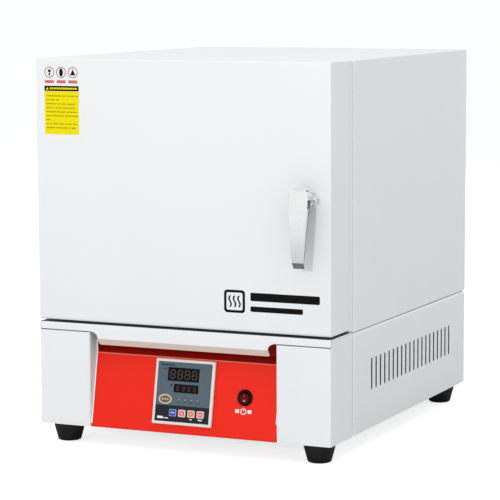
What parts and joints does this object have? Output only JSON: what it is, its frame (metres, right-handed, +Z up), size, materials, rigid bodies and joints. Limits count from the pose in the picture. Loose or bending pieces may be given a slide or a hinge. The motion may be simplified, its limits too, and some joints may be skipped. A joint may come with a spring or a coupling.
{
  "type": "benchtop muffle furnace",
  "caption": "Benchtop muffle furnace with a side-hinged insulated door, lift-lever latch, electric chamber and a sloping control panel with temperature controller.",
  "frame": {"origin": "on the bench under the middle of the whole object's box", "axes": "+Z up, +X to the right of a person who faces the door, +Y from the door to the back of the cabinet"},
  "size_m": [0.4783, 0.656, 0.5736],
  "materials": {
    "white_powder_coat": "satin",
    "red_powder_coat": "satin",
    "zinc_plated_steel": "satin",
    "polished_steel": "polished",
    "cast_aluminium": "satin",
    "ceramic_fibre": "matte",
    "dense_ceramic": "matte",
    "heating_alloy": "matte",
    "black_rubber": "matte",
    "black_plastic": "satin",
    "cream_plastic": "satin",
    "slate_face": "satin",
    "smoked_window": "gloss",
    "blue_key": "satin",
    "pink_key": "satin",
    "rocker_red": "gloss"
  },
  "bodies": {
    "cabinet": {"outer_cover": "white_powder_coat", "back_panel": "white_powder_coat", "base_shell": "white_powder_coat", "floor_plate": "white_powder_coat", "base_back_panel": "white_powder_coat", "mid_deck": "zinc_plated_steel", "front_plate": "white_powder_coat", "strike_plate": "zinc_plated_steel", "ledge_visor": "white_powder_coat", "left_pillar": "white_powder_coat", "right_pillar": "white_powder_coat", "control_panel": "red_powder_coat", "inner_casing": "zinc_plated_steel", "insulation_floor": "ceramic_fibre", "insulation_roof": "ceramic_fibre", "insulation_left": "ceramic_fibre", "insulation_right": "ceramic_fibre", "insulation_back": "ceramic_fibre", "hearth_plate": "dense_ceramic", "throat_frame": "ceramic_fibre", "heating_element_left": "heating_alloy", "heating_element_right": "heating_alloy", "element_terminal_left": "dense_ceramic", "element_terminal_right": "dense_ceramic", "thermocouple_sheath": "dense_ceramic", "thermocouple_head": "cast_aluminium", "thermocouple_cap": "cast_aluminium", "cable_gland": "black_plastic", "heat_sink": "cast_aluminium", "solid_state_relay": "black_plastic", "front_left_foot": "black_rubber", "front_right_foot": "black_rubber", "rear_left_foot": "black_rubber", "rear_right_foot": "black_rubber", "controller_case": "cream_plastic", "controller_face": "slate_face", "display_upper": "smoked_window", "display_lower": "smoked_window", "switch_housing": "black_plastic", "hinge_leaf_cabinet_upper": "polished_steel", "hinge_leaf_cabinet_lower": "polished_steel", "hinge_pin_upper": "polished_steel", "hinge_pin_lower": "polished_steel"},
    "door": {"door_skin": "white_powder_coat", "door_inner_plate": "white_powder_coat", "door_blanket": "ceramic_fibre", "door_plug": "ceramic_fibre", "door_seal": "ceramic_fibre", "hinge_leaf_door_upper": "polished_steel", "hinge_leaf_door_lower": "polished_steel", "handle_bracket": "polished_steel", "handle_pin": "polished_steel", "latch_bracket": "zinc_plated_steel"},
    "handle": {"handle_lever": "polished_steel"},
    "latch": {"latch_hook": "zinc_plated_steel"},
    "rocker": {"switch_rocker": "rocker_red"},
    "set_key": {"set_button": "blue_key"},
    "shift_key": {"shift_button": "pink_key"},
    "down_key": {"down_button": "pink_key"},
    "up_key": {"up_button": "pink_key"}
  },
  "joints": [
    {"name": "door_hinge", "type": "hinge", "parent": "cabinet", "child": "door", "pos_m": [-0.2393, -0.22325, 0.3805], "axis": [0, 0, -1], "range_deg": [0, 120]},
    {"name": "handle_lift", "type": "hinge", "parent": "door", "child": "handle", "pos_m": [0.1978, -0.305, 0.3816], "axis": [-1, 0, 0], "range_deg": [0, 60]},
    {"name": "latch_lift", "type": "hinge", "parent": "door", "child": "latch", "pos_m": [0.1978, -0.242, 0.3816], "axis": [1, 0, 0], "range_deg": [0, 12]},
    {"name": "power_rocker", "type": "hinge", "parent": "cabinet", "child": "rocker", "pos_m": [0.0966, -0.2808, 0.08807], "axis": [-1, 0, 0], "range_deg": [0, 20]},
    {"name": "set_press", "type": "slide", "parent": "cabinet", "child": "set_key", "axis": [0, 0.9812, -0.1932], "range_m": [0, 0.0008], "stiffness_N_per_m": 300},
    {"name": "shift_press", "type": "slide", "parent": "cabinet", "child": "shift_key", "axis": [0, 0.9812, -0.1932], "range_m": [0, 0.0008], "stiffness_N_per_m": 300},
    {"name": "down_press", "type": "slide", "parent": "cabinet", "child": "down_key", "axis": [0, 0.9812, -0.1932], "range_m": [0, 0.0008], "stiffness_N_per_m": 300},
    {"name": "up_press", "type": "slide", "parent": "cabinet", "child": "up_key", "axis": [0, 0.9812, -0.1932], "range_m": [0, 0.0008], "stiffness_N_per_m": 300}
  ],
  "couplings": [
    {"joint": "latch_lift", "follows": "handle_lift", "ratio": 0.2}
  ]
}
